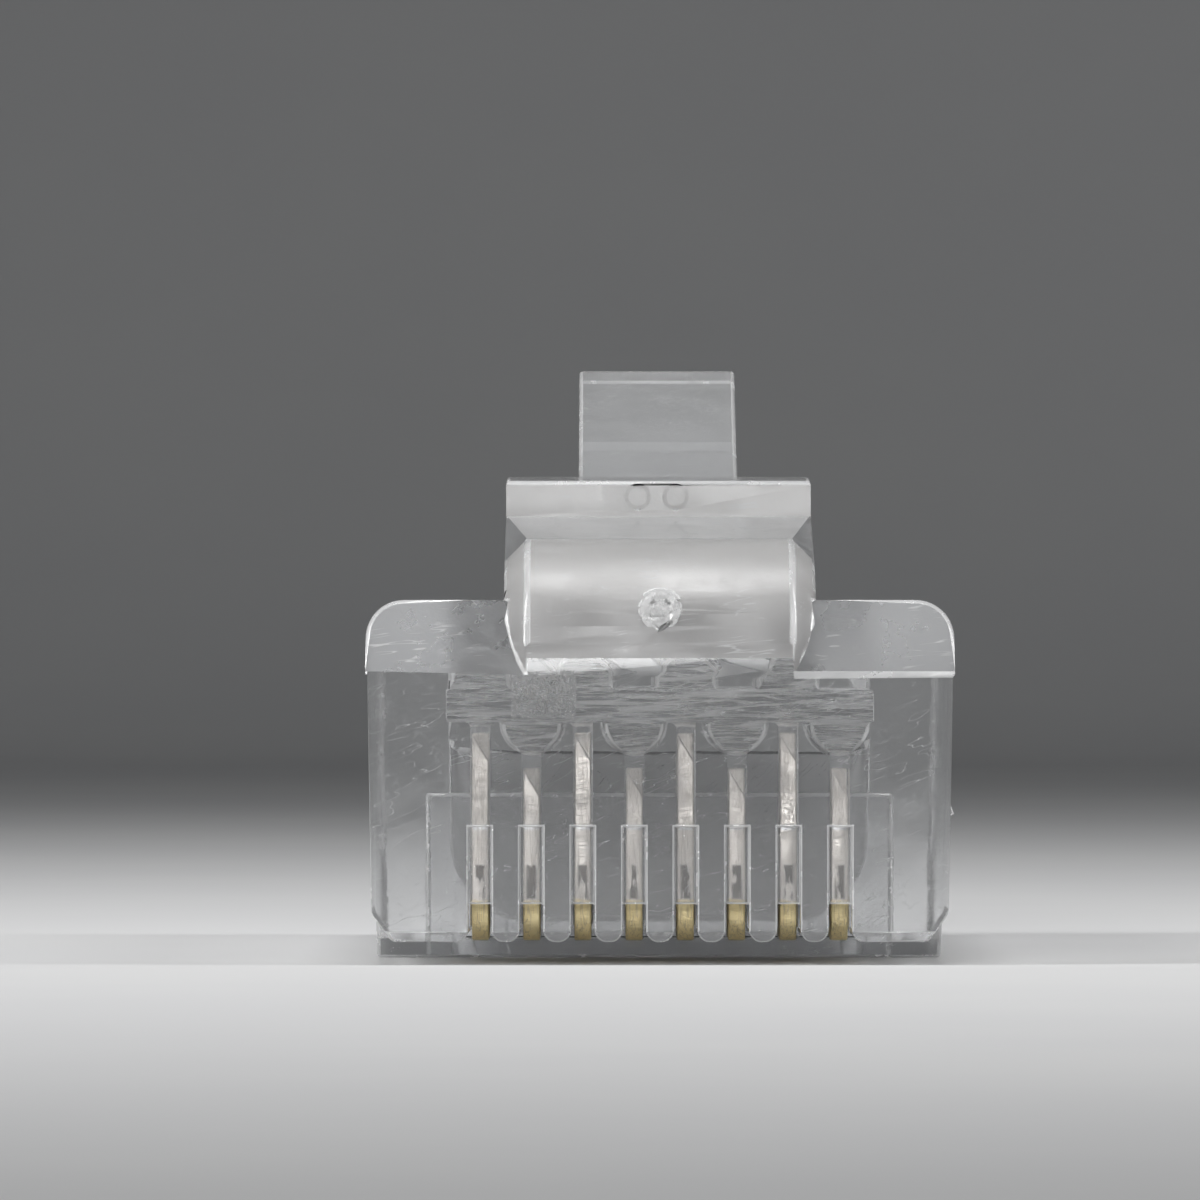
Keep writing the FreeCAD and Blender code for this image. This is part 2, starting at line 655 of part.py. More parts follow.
def check_features(bodies):
    """Stops where a feature failed, or where a pocket cut nothing."""
    for item in doc.Objects:
        faults = {"Invalid", "Error"}.intersection(item.State)
        if faults:
            raise RuntimeError(f"{item.Name}: {item.State}")
    for body in bodies:
        shape = body.Shape
        if shape.isNull() or not shape.isValid() or len(shape.Solids) != 1:
            raise RuntimeError(f"{body.Label}: not one valid solid")
        volume = 0.0
        for item in body.Group:
            if item.TypeId == "PartDesign::Pocket" and item.Shape.Volume >= volume - 1e-6:
                raise RuntimeError(f"{body.Label}.{item.Name}: cuts nothing")
            if hasattr(item, "AddSubShape") or "Pattern" in item.TypeId:
                volume = item.Shape.Volume


def write_steps(bodies):
    os.makedirs("parts", exist_ok=True)
    for body in bodies:
        body.Shape.exportStep(f"parts/{body.Label}.step")
        box = body.Shape.BoundBox
        print(f"{body.Label}: {body.Shape.Volume:.2f} mm3, "
              f"x {box.XMin:.2f}..{box.XMax:.2f}, y {box.YMin:.2f}..{box.YMax:.2f}, "
              f"z {box.ZMin:.2f}..{box.ZMax:.2f}")


bodies = [make_housing(), make_latch(), *make_contacts()]
doc.recompute()
check_features(bodies)
write_steps(bodies)
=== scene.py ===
# %% [markdown]
# # A clear eight-way modular plug
# The plug that ends a network cable, as it comes from the bag: a clear polycarbonate moulding with a
# sprung latch, and eight gold-plated blades that wait to be pressed into the wires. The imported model
# holds the sizes and the hinge. This script gives every surface its finish and sets the light.
# Blender works in metres. A plug is easier to think of in millimetres, so heights are written in
# millimetres above the comb that holds the blades, and depths in millimetres behind the nose.

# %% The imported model
import json
import math

import bmesh
import bpy
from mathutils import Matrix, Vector, noise


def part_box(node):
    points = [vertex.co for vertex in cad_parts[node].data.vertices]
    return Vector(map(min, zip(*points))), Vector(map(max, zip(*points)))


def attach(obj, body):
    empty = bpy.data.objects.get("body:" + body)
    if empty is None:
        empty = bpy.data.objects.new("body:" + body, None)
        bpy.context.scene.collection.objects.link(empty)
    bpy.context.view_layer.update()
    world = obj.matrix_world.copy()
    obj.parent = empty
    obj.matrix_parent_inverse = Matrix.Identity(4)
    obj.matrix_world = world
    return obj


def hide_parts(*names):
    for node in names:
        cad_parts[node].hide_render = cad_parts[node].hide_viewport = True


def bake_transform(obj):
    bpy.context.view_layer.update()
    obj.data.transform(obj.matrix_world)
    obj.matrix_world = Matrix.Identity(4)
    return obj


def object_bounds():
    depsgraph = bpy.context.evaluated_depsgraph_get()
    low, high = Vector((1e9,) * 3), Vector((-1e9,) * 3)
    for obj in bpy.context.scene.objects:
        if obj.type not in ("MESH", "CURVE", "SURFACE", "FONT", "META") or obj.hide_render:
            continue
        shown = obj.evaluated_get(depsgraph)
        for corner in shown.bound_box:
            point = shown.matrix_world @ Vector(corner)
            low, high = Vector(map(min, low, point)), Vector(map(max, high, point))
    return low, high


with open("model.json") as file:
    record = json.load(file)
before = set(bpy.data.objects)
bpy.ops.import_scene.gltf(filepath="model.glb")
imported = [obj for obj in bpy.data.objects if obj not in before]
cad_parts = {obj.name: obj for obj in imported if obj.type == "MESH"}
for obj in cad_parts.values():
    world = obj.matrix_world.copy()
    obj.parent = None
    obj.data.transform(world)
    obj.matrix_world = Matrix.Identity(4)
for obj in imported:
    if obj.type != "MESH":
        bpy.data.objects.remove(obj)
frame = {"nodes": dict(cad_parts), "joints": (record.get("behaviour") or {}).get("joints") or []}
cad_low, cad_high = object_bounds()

MM = 0.001
nodes = frame["nodes"]
hinge = Vector(frame["joints"][0]["pos_m"])
housing_low, housing_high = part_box("housing")
latch_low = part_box("latch")[0]
nose_y = housing_low.y
comb_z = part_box("contact_1")[0].z
print("nose at", round(nose_y / MM, 2), "mm, comb at", round(comb_z / MM, 2), "mm")


def above_comb(height):
    """Z in metres of a place this many millimetres above the comb."""
    return comb_z + height * MM


def behind_nose(distance):
    """Y in metres of a place this many millimetres behind the nose face."""
    return nose_y + distance * MM


# %% [markdown]
# ## One moulding
# Housing and latch leave the mould as one piece of clear plastic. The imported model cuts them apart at
# the hinge, and two glass solids that touch would show that cut as a mirror. So their meshes are
# joined and the faces at the cut are deleted. `bmesh` is the tool for that: it works on the mesh
# itself, with no object or modifier between.

# %% Join housing and latch
SAME_POINT = 0.001 * MM
FLAT_WITHIN = math.radians(1)


def joined_moulding():
    """Housing and latch as one closed surface."""
    mould = bmesh.new()
    for name in ("housing", "latch"):
        mould.from_mesh(nodes[name].data)
    bmesh.ops.remove_doubles(mould, verts=mould.verts, dist=SAME_POINT)
    at_cut = [face for face in mould.faces
              if all(abs(corner.co.y - hinge.y) < SAME_POINT for corner in face.verts)
              and face.calc_center_median().z > hinge.z]
    bmesh.ops.delete(mould, geom=at_cut, context="FACES_ONLY")
    loose = [edge for edge in mould.edges if not edge.link_faces]
    bmesh.ops.delete(mould, geom=loose, context="EDGES")
    bmesh.ops.remove_doubles(mould, verts=mould.verts, dist=SAME_POINT)
    bmesh.ops.dissolve_limit(mould, angle_limit=FLAT_WITHIN, verts=mould.verts,
                             edges=mould.edges, delimit=set())
    return mould


def open_edges(mesh):
    return sum(1 for edge in mesh.edges if not edge.is_manifold)


moulding = joined_moulding()
print("moulding:", len(moulding.faces), "faces,", open_edges(moulding), "open edges")


# %% [markdown]
# ## Marks of the mould
# Two round pins pushed the part out of the mould and left a ring each on the front of the catch. A
# stray flake of plastic hangs on the right side wall. A boolean modifier is the sure way to cut a
# small shape into a clear mesh or to join one on, because the surface has to stay closed: a flake that
# only touched it would show as a second skin inside.

# %% Cut and join small shapes
EJECTOR_AT = (-0.42, 0.35)
EJECTOR_HEIGHT = 8.88
EJECTOR_OUTER, EJECTOR_INNER = 0.27, 0.19
CATCH_FACE, EJECTOR_DEPTH, EJECTOR_CLEAR = 7.03, 0.04, 0.10


def object_from(mesh, name):
    data = bpy.data.meshes.new(name)
    mesh.to_mesh(data)
    made = bpy.data.objects.new(name, data)
    bpy.context.scene.collection.objects.link(made)
    return made


def combine(mesh, other, operation):
    """The first mesh cut by the second (DIFFERENCE) or joined with it (UNION)."""
    base, tool = object_from(mesh, "base"), object_from(other, "tool")
    cut = base.modifiers.new("cut", "BOOLEAN")
    cut.object, cut.operation, cut.solver = tool, operation, "EXACT"
    result = bmesh.new()
    result.from_object(base, bpy.context.evaluated_depsgraph_get())
    for item in (base, tool):
        data = item.data
        bpy.data.objects.remove(item)
        bpy.data.meshes.remove(data)
    bmesh.ops.remove_doubles(result, verts=result.verts, dist=SAME_POINT)
    return result


def ring_tool(centres, outer, inner, front, back, steps=32):
    """Short upright-facing tubes from front to back, one about each centre (x, z), all in metres."""
    tool = bmesh.new()
    for x, z in centres:
        rows = []
        for radius, y in ((outer, front), (outer, back), (inner, back), (inner, front)):
            rows.append([tool.verts.new((x + radius * math.cos(math.tau * step / steps), y,
                                         z + radius * math.sin(math.tau * step / steps)))
                         for step in range(steps)])
        for row, following in zip(rows, rows[1:] + rows[:1]):
            for step in range(steps):
                onwards = (step + 1) % steps
                tool.faces.new((row[step], row[onwards], following[onwards], following[step]))
    bmesh.ops.recalc_face_normals(tool, faces=tool.faces)
    return tool


rings = ring_tool([(x * MM, above_comb(EJECTOR_HEIGHT)) for x in EJECTOR_AT], EJECTOR_OUTER * MM,
                  EJECTOR_INNER * MM, behind_nose(CATCH_FACE - EJECTOR_CLEAR),
                  behind_nose(CATCH_FACE + EJECTOR_DEPTH))
moulding = combine(moulding, rings, "DIFFERENCE")
print("with ejector rings:", len(moulding.faces), "faces,", open_edges(moulding), "open edges")


# %% Join the flake of flash
PARTING_LINE = 5.30
FLAKE_HEIGHT, FLAKE_BACK = 2.65, 0.12
FLAKE_OUT, FLAKE_LONG, FLAKE_THICK = 0.07, 0.34, 0.10
FLAKE_ROOT, FLAKE_WAIST, FLAKE_FOOT = 0.04, 0.03, 0.06
PARTING_LIP = 0.04
WALL_LEAN = 0.10 / 5.75


def flake_tool():
    """A thin pointed flake that lies along the right side wall, rooted just inside it."""
    wall = housing_high.x / MM - PARTING_LIP - WALL_LEAN * (PARTING_LINE - FLAKE_HEIGHT)
    root, tip = wall - FLAKE_ROOT, wall + FLAKE_OUT
    low, high = FLAKE_HEIGHT - FLAKE_LONG / 2, FLAKE_HEIGHT + FLAKE_LONG / 2
    outline = [(root, low), (tip, low + FLAKE_FOOT), (wall + FLAKE_WAIST, FLAKE_HEIGHT), (root, high)]
    tool = bmesh.new()
    sides = [[tool.verts.new((x * MM, behind_nose(back), above_comb(z))) for x, z in outline]
             for back in (FLAKE_BACK, FLAKE_BACK + FLAKE_THICK)]
    tool.faces.new(sides[0])
    tool.faces.new(reversed(sides[1]))
    for step in range(len(outline)):
        onwards = (step + 1) % len(outline)
        tool.faces.new((sides[0][onwards], sides[0][step], sides[1][step], sides[1][onwards]))
    bmesh.ops.recalc_face_normals(tool, faces=tool.faces)
    return tool


moulding = combine(moulding, flake_tool(), "UNION")
print("with the flake:", len(moulding.faces), "faces,", open_edges(moulding), "open edges")


# %% [markdown]
# ## Which face gets which finish
# The mould gives each part of the plug its own surface. Most of it is polished. The slanted nose comes
# out matt, and the latch's curved root and the middle of the catch are milky satin. The end wall of
# the wire channels keeps the level lines of the cutter that made it, the ridges between the channels
# are frosted, and the sprue is a rough break. Each of these becomes a material slot, and every face
# gets its slot from where it lies and which way it faces. This is done before the edges are rounded,
# while each flat is still a single face.

# %% Sort the faces by finish
POLISHED, RUBBED, MATT, SATIN, SCORED, SCUFFED, TORN, FROSTED = range(8)
FINISHES = 8
TOP_FACE = 6.78
LEAD_IN = 0.90
ROOT_END = 2.70
FRONT_WALL = 1.00
GATE_HEIGHT, GATE_RADIUS, GATE_FRONT = 6.56, 0.40, 0.17
CATCH_MIDDLE, CATCH_FOOT = 1.65, 8.40
RIDGE_LOW, RIDGE_HIGH, RIDGE_ACROSS, RIDGE_END = 4.95, 5.35, 4.00, 7.20
STUB_END, LATCH_HALF, ROOT_HALF = 1.00, 3.10, 3.20
NEAR, CATCH_LEAN = 0.02, 0.06
SQUARE_ON, SIDEWAYS, TILTED = 0.99, 0.01, 0.20


def finish_of(face):
    """The finish of one face of the moulding, from where it lies and which way it faces."""
    middle, facing = face.calc_center_median(), face.normal
    back = (middle.y - nose_y) / MM
    height = (middle.z - comb_z) / MM
    across = abs(middle.x) / MM
    off_axis = math.hypot(middle.x / MM, height - GATE_HEIGHT)
    above_parting = height > PARTING_LINE
    if (off_axis < GATE_RADIUS + NEAR and back < STUB_END
            and (facing.y < -SQUARE_ON or abs(facing.y) < SIDEWAYS)):
        return TORN
    if facing.y > SQUARE_ON and abs(back - FRONT_WALL) < NEAR:
        return SCORED
    if facing.y < -SQUARE_ON and back < NEAR / 2:
        return SCUFFED
    if above_parting and across > LATCH_HALF and back < LEAD_IN + NEAR and facing.y < -TILTED:
        return MATT
    if above_parting and across < ROOT_HALF and back < ROOT_END and facing.z > -SIDEWAYS:
        return SATIN
    if height > CATCH_FOOT and across < CATCH_MIDDLE and abs(back - CATCH_FACE) < CATCH_LEAN:
        return SATIN
    if (RIDGE_LOW < height < RIDGE_HIGH and across < RIDGE_ACROSS and facing.z < SIDEWAYS
            and FRONT_WALL < back < RIDGE_END):
        return FROSTED
    return POLISHED


def sort_by_finish(mesh):
    for face in mesh.faces:
        face.material_index = finish_of(face)
    return [sum(1 for face in mesh.faces if face.material_index == kind) for kind in range(FINISHES)]


print("faces polished, rubbed, matt, satin, scored, scuffed, torn, frosted:", sort_by_finish(moulding))


# %% [markdown]
# ## The broken sprue
# Plastic entered the mould through a sprue on the latch's root, which was twisted off. What is left is
# a short stub with a rough crater. The flat end of the stub is divided into rings, and each ring is
# moved by a little noise: a rim stands up, and the middle is torn out.

# %% Tear the end of the stub
CRATER_RINGS = 5
CRATER_DEPTH, CRATER_OUT = 0.10, 0.60
RIM_RISE, RIM_OUT, RIM_WIDE = 0.05, 0.75, 0.15
TEAR_DEPTH, TEARS_PER_MM = 0.07, 5


def tear_stub(mesh):
    """Turns the flat end of the sprue stub into a torn crater."""
    ends = [face for face in mesh.faces
            if face.material_index == TORN and face.normal.y < -SQUARE_ON]
    end = max(ends, key=bmesh.types.BMFace.calc_area)
    rim = set(end.verts)
    for _ in range(CRATER_RINGS):
        bmesh.ops.inset_individual(mesh, faces=[end], use_even_offset=True,
                                   thickness=GATE_RADIUS * MM / (CRATER_RINGS + 1))
    bmesh.ops.poke(mesh, faces=[end])
    torn_points = 0
    for corner in mesh.verts:
        out = math.hypot(corner.co.x, corner.co.z - above_comb(GATE_HEIGHT)) / (GATE_RADIUS * MM)
        on_end = abs(corner.co.y - behind_nose(GATE_FRONT)) < SAME_POINT
        if out < 1 and on_end and corner not in rim:
            lip = RIM_RISE * math.exp(-((out - RIM_OUT) / RIM_WIDE) ** 2)
            crater = CRATER_DEPTH * max(0, 1 - out / CRATER_OUT)
            ragged = TEAR_DEPTH * noise.noise(corner.co / MM * TEARS_PER_MM)
            corner.co.y -= (lip - crater + ragged) * MM
            torn_points += 1
    return torn_points


print("torn stub points:", tear_stub(moulding))


# %% [markdown]
# ## Soft edges
# No moulded edge is truly sharp. A small radius catches the light as a thin bright line, and on clear
# plastic these lines draw the whole shape. A bevel of the mesh makes them, because a bump in the
# material can't bend the light at an edge. Where two edges lie close together there is no room for
# the full radius, so those get a finer one. The upper mould half stands a hair proud of the lower one,
# and where that ledge meets the nose and the cable entry it makes a tiny step in their rims. The rim
# on both sides of such a step is rounded as if it ran straight through.

# %% Round the edges of a mould
EDGE_ANGLE = math.radians(25)
EDGE_RADII = (0.08 * MM, 0.05 * MM, 0.03 * MM, 0.02 * MM)
STRAIGHT_ON, NEARLY_STRAIGHT = math.radians(35), math.radians(5)
ROOM_NEEDED = 3
TINY_STEP = 0.06 * MM
LEDGE_RIM_BACK, LEDGE_RIM_HEIGHT = 0.05, 5.38
COMB_TOP, COMB_BACK, COMB_HALF, COMB_EDGE = 2.60, 5.0, 4.6, 0.03 * MM


def turns_from(edge, other):
    """The angle between two edges that share a corner, 0 where one carries the other on."""
    shared = next(corner for corner in edge.verts if corner in other.verts)
    along = shared.co - edge.other_vert(shared).co
    onwards = other.other_vert(shared).co - shared.co
    return along.angle(onwards, 0.0)


def widest_at(edge):
    """The largest radius of an edge: the fine ribs of the comb have sharper edges than the rest."""
    in_comb = all(corner.co.z < above_comb(COMB_TOP) and corner.co.y < behind_nose(COMB_BACK)
                  and abs(corner.co.x) < COMB_HALF * MM for corner in edge.verts)
    return COMB_EDGE if in_comb else EDGE_RADII[0]


def is_tiny_step(edge, side):
    """Whether a side edge is only a tiny step, past which the line of this edge goes on."""
    near = next(corner for corner in edge.verts if corner in side.verts)
    far = side.other_vert(near)
    along = near.co - edge.other_vert(near).co
    return side.calc_length() < TINY_STEP and any(
        along.angle(onward.other_vert(far).co - far.co, math.pi) < NEARLY_STRAIGHT
        for onward in far.link_edges if onward is not side and onward.calc_length() > TINY_STEP)


def room_at(edge):
    """How far a bevel of this edge can reach before it meets the end of a side edge."""
    room = []
    for other in {side for corner in edge.verts for side in corner.link_edges} - {edge}:
        turn = turns_from(edge, other)
        if turn > STRAIGHT_ON and not is_tiny_step(edge, other):
            room.append(other.calc_length() * math.sin(turn))
    return min(room, default=edge.calc_length())


def is_sharp(edge):
    """Whether an edge is a crease between faces that aren't rounded or torn already."""
    return (edge.is_manifold and edge.calc_face_angle(0) > EDGE_ANGLE
            and all(face.material_index != RUBBED for face in edge.link_faces)
            and not all(face.material_index == TORN for face in edge.link_faces))


def lift_ledge_ends(mesh):
    """Puts the two nose corners of the parting ledge back on the rim of the slant above them."""
    ends = [corner for corner in mesh.verts
            if abs(corner.co.z - above_comb(PARTING_LINE)) < NEAR / 2 * MM
            and abs(corner.co.y - nose_y) < SAME_POINT
            and abs(corner.co.x) > housing_high.x - NEAR / 2 * MM]
    for corner in ends:
        corner.co.y = behind_nose(LEDGE_RIM_BACK)
        corner.co.z = above_comb(LEDGE_RIM_HEIGHT)
    print("ledge ends lifted:", len(ends))


def soften_edges(mesh, radii, after_first=None, segments=2):
    """Rounds the sharp edges with the first radius that they have room for."""
    rounded = []
    for radius in radii:
        edges = [edge for edge in mesh.edges if is_sharp(edge)
                 and radius <= widest_at(edge) and room_at(edge) > ROOM_NEEDED * radius]
        made = bmesh.ops.bevel(mesh, geom=edges, offset=radius, offset_type="OFFSET",
                               segments=segments, profile=0.5, affect="EDGES", clamp_overlap=False)
        for face in made["faces"]:
            face.material_index = RUBBED
        rounded.append(len(edges))
        if after_first and radius == radii[0]:
            after_first(mesh)
    return rounded


print("rounded", soften_edges(moulding, EDGE_RADII, lift_ledge_ends), "edges,",
      len(moulding.faces), "faces,", open_edges(moulding), "open edges")


# %% [markdown]
# ## A fixed piece and a springing piece
# The latch bends where its arm leaves the curved root. The surface is cut round the arm just behind
# the hinge, into two meshes that share that ring of points. The arm gets cross lines so that it can
# bend like a spring.

# %% Part the arm from the body
ARM_CUT = 2.76
ARM_HALF = 3.15
ARM_UNDERSIDE = latch_low.z - 0.02 * MM
BEND_END = 5.2
BEND_STEPS = 10


def cut_across(mesh, y):
    """Cuts the arm along the upright plane at y: only its faces reach above its underside."""
    faces = [face for face in mesh.faces
             if any(corner.co.z > ARM_UNDERSIDE for corner in face.verts)
             and all(abs(corner.co.x) < ARM_HALF * MM for corner in face.verts)]
    geometry = list(dict.fromkeys(item for face in faces
                                  for item in (*face.verts, *face.edges, face)))
    bmesh.ops.bisect_plane(mesh, geom=geometry, plane_co=(0, y, 0), plane_no=(0, 1, 0),
                           dist=SAME_POINT / 10)


def reach(start_faces):
    """All faces that hang together with these ones."""
    found, waiting = set(start_faces), list(start_faces)
    while waiting:
        face = waiting.pop()
        for edge in face.edges:
            for other in edge.link_faces:
                if other not in found:
                    found.add(other)
                    waiting.append(other)
    return found


def part_at_ring(mesh, y):
    """Cuts a closed mesh in two open ones along a ring, and returns the half that lies behind it."""
    cut_across(mesh, y)
    ring = [edge for edge in mesh.edges
            if all(abs(corner.co.y - y) < SAME_POINT and corner.co.z > ARM_UNDERSIDE
                   for corner in edge.verts)]
    bmesh.ops.split_edges(mesh, edges=ring)
    highest = max(mesh.faces, key=lambda face: face.calc_center_median().z)
    behind = reach([highest])
    if len(behind) == len(mesh.faces):
        raise ValueError("the cut doesn't go all the way round the arm")
    copy = mesh.copy()
    copy.faces.ensure_lookup_table()
    mesh.faces.index_update()
    kept = {face.index for face in behind}
    bmesh.ops.delete(copy, geom=[face for face in copy.faces if face.index not in kept],
                     context="FACES")
    bmesh.ops.delete(mesh, geom=list(behind), context="FACES")
    return copy, len(ring)


arm, ring_size = part_at_ring(moulding, behind_nose(ARM_CUT))
for step in range(1, BEND_STEPS):
    cut_across(arm, behind_nose(ARM_CUT + (BEND_END - ARM_CUT) * step / BEND_STEPS))
print("ring of", ring_size, "edges; body", len(moulding.faces), "faces, arm", len(arm.faces), "faces")


# %% [markdown]
# ## Flat and smooth
# Light bends at a clear surface by the direction that the surface seems to face. Smooth shading blends
# that direction from corner to corner, which is right on a rounded edge and wrong on a flat wall, where
# it makes streaks. So the true flats are shaded flat, and only the rounded strips, the torn stub and
# the runs of narrow facets are shaded smooth.

# %% Make the two plastic pieces
LARGEST_FACET = 3.0 * MM * MM
SOFT_TURN = math.radians(50)


def shade_by_shape(mesh):
    """Smooth shading on rounded edges and on runs of narrow facets; every true flat stays flat."""
    for face in mesh.faces:
        turns = [edge.calc_face_angle(0) for edge in face.edges if edge.is_manifold
                 and all(beside.material_index != RUBBED for beside in edge.link_faces)]
        curved = (face.calc_area() < LARGEST_FACET
                  and any(FLAT_WITHIN < turn < EDGE_ANGLE for turn in turns))
        face.smooth = curved or face.material_index in (RUBBED, TORN)
    for edge in mesh.edges:
        edge.smooth = edge.calc_face_angle(0) < SOFT_TURN
    return sum(1 for face in mesh.faces if face.smooth)


def shaded_object(mesh, name):
    smooth = shade_by_shape(mesh)
    made = object_from(mesh, name)
    print(name, "has", len(mesh.faces), "faces,", smooth, "of them smooth")
    return made


clear_shell = shaded_object(moulding, "clear_shell")
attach(clear_shell, "plug_body")
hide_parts("housing")

latch_spring = shaded_object(arm, "latch_spring")
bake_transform(latch_spring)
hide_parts("latch")


# %% [markdown]
# ## Blades
# Each contact is stamped from bronze sheet. The press rounds the edges a little and leaves the faces
# flat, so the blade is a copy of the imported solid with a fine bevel. It is drawn in by a hair all
# round, so that metal and plastic never share a face.

# %% Stamp the blades
BLADE_GAP = 0.012 * MM
BLADE_EDGE = 0.03 * MM


def stamped_blade(number):
    """One contact, drawn in by a hair and with its stamped edges rounded."""
    name = f"contact_{number}"
    low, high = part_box(name)
    middle = (low + high) / 2
    half = (high - low) / 2
    blade = bmesh.new()
    blade.from_mesh(nodes[name].data)
    bmesh.ops.remove_doubles(blade, verts=blade.verts, dist=SAME_POINT)
    bmesh.ops.dissolve_limit(blade, angle_limit=FLAT_WITHIN, verts=blade.verts,
                             edges=blade.edges, delimit=set())
    for corner in blade.verts:
        for axis in (0, 1):
            corner.co[axis] -= (corner.co[axis] - middle[axis]) / half[axis] * BLADE_GAP
    soften_edges(blade, [BLADE_EDGE])
    piece = shaded_object(blade, f"blade_{number}")
    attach(piece, "plug_body")
    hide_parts(name)
    return piece


blades = [stamped_blade(number) for number in range(1, 9)]
print("blades:", [len(blade.data.polygons) for blade in blades], "faces")


# %% [markdown]
# ## Small tools for shader nodes
# Every finish below is built from nodes: noise for what is uneven, thin bands of noise for scratches,
# and boxes in the object's own millimetres for places that were treated differently. These helpers
# add one node each and give back the socket that comes out, so that a finish reads like a sum.

# %% Node helpers
def add_node(tree, kind, sockets=None, **settings):
    """Adds a node; a socket gets a plain value, or a link where the value is itself a socket."""
    node = tree.nodes.new("ShaderNode" + kind)
    for name, setting in settings.items():
        setattr(node, name, setting)
    for key, value in (sockets or {}).items():
        if isinstance(value, bpy.types.NodeSocket):
            tree.links.new(value, node.inputs[key])
        else:
            node.inputs[key].default_value = value
    return node


def calculate(tree, operation, first, second=0.0):
    return add_node(tree, "Math", {0: first, 1: second}, operation=operation).outputs[0]


def times(tree, mask, share):
    """A mask made weaker, or a height made smaller or larger."""
    return calculate(tree, "MULTIPLY", mask, share)


def vector_step(tree, operation, first, second=(0, 0, 0)):
    return add_node(tree, "VectorMath", {0: first, 1: second}, operation=operation).outputs[0]


def remap(tree, source, low, high, to_low=0.0, to_high=1.0):
    """A soft step from to_low to to_high while the source goes from low to high."""
    return add_node(tree, "MapRange", {"Value": source, "From Min": low, "From Max": high,
                                       "To Min": to_low, "To Max": to_high},
                    interpolation_type="SMOOTHSTEP").outputs[0]


def mix_colours(tree, share, first, second):
    mixer = tree.nodes.new("ShaderNodeMix")
    mixer.data_type = "RGBA"
    sockets = [item for item in mixer.inputs if item.enabled]
    for socket, value in zip(sockets, (share, first, second)):
        if isinstance(value, bpy.types.NodeSocket):
            tree.links.new(value, socket)
        else:
            socket.default_value = value
    return next(item for item in mixer.outputs if item.enabled)


def place_in_mm(tree):
    """Where a point is in the object's own space, in millimetres."""
    spot = add_node(tree, "TexCoord").outputs["Object"]
    return vector_step(tree, "MULTIPLY", spot, (1 / MM, 1 / MM, 1 / MM))


# %% [markdown]
# ## Shared effects
# Plastic, metal and paper all have some unevenness, hairline scratches and dust. Each effect is one
# node group with named sockets, built once and placed in every material that needs it, with its own
# numbers. A group gives out only masks and heights; the shader itself stays in the material.

# %% Effect group: helper
def new_effect(name, inputs, outputs):
    """An empty node group. Inputs: {name: (type, default)}; outputs: names of plain numbers."""
    group = bpy.data.node_groups.new(name, "ShaderNodeTree")
    for socket_name, (kind, default) in inputs.items():
        socket = group.interface.new_socket(socket_name, in_out="INPUT", socket_type="NodeSocket" + kind)
        if default is not None:
            socket.default_value = default
    for socket_name in outputs:
        group.interface.new_socket(socket_name, in_out="OUTPUT", socket_type="NodeSocketFloat")
    source = group.nodes.new("NodeGroupInput").outputs
    sink = group.nodes.new("NodeGroupOutput").inputs
    return group, source, sink


def use_effect(tree, group, **sockets):
    """Places an effect in a material; spaces in socket names are written as _."""
    node = tree.nodes.new("ShaderNodeGroup")
    node.node_tree = group
    for key, value in sockets.items():
        socket = node.inputs[key.replace("_", " ")]
        if isinstance(value, bpy.types.NodeSocket):
            tree.links.new(value, socket)
        else:
            socket.default_value = value
    return node.outputs


# %% Effect: a box-shaped zone
def build_zone():
    """1 inside a box with a soft edge, 0 outside it."""
    group, source, sink = new_effect("zone", {
        "Place": ("Vector", None), "Centre": ("Vector", (0, 0, 0)),
        "Half Size": ("Vector", (1, 1, 1)), "Edge": ("Float", 0.1)}, ["Mask"])
    away = vector_step(group, "SUBTRACT", source["Place"], source["Centre"])
    away = vector_step(group, "ABSOLUTE", away)
    outside = vector_step(group, "SUBTRACT", away, source["Half Size"])
    axes = add_node(group, "SeparateXYZ", {0: outside}).outputs
    furthest = calculate(group, "MAXIMUM", calculate(group, "MAXIMUM", axes[0], axes[1]), axes[2])
    group.links.new(remap(group, furthest, 0.0, source["Edge"], 1.0, 0.0), sink["Mask"])
    return group


zone = build_zone()


# %% Effect: uneven moulded skin
def build_skin():
    """Long shallow waves with a fine grain on them, and slow patches."""
    group, source, sink = new_effect("moulded_skin", {
        "Place": ("Vector", None), "Waves per mm": ("Float", 0.8),
        "Grain per mm": ("Float", 9.0), "Grain Share": ("Float", 0.08)}, ["Height", "Patch"])
    waves = add_node(group, "TexNoise", {"Vector": source["Place"], "Scale": source["Waves per mm"],
                                         "Detail": 1.0}).outputs[0]
    grain = add_node(group, "TexNoise", {"Vector": source["Place"], "Scale": source["Grain per mm"],
                                         "Detail": 3.0, "Roughness": 0.6}).outputs[0]
    height = calculate(group, "ADD", waves, times(group, grain, source["Grain Share"]))
    group.links.new(height, sink["Height"])
    slow = times(group, source["Waves per mm"], 0.6)
    patch = add_node(group, "TexNoise", {"Vector": source["Place"], "Scale": slow,
                                         "Detail": 4.0, "Roughness": 0.65}).outputs[0]
    group.links.new(remap(group, patch, low=0.35, high=0.7), sink["Patch"])
    return group


skin = build_skin()


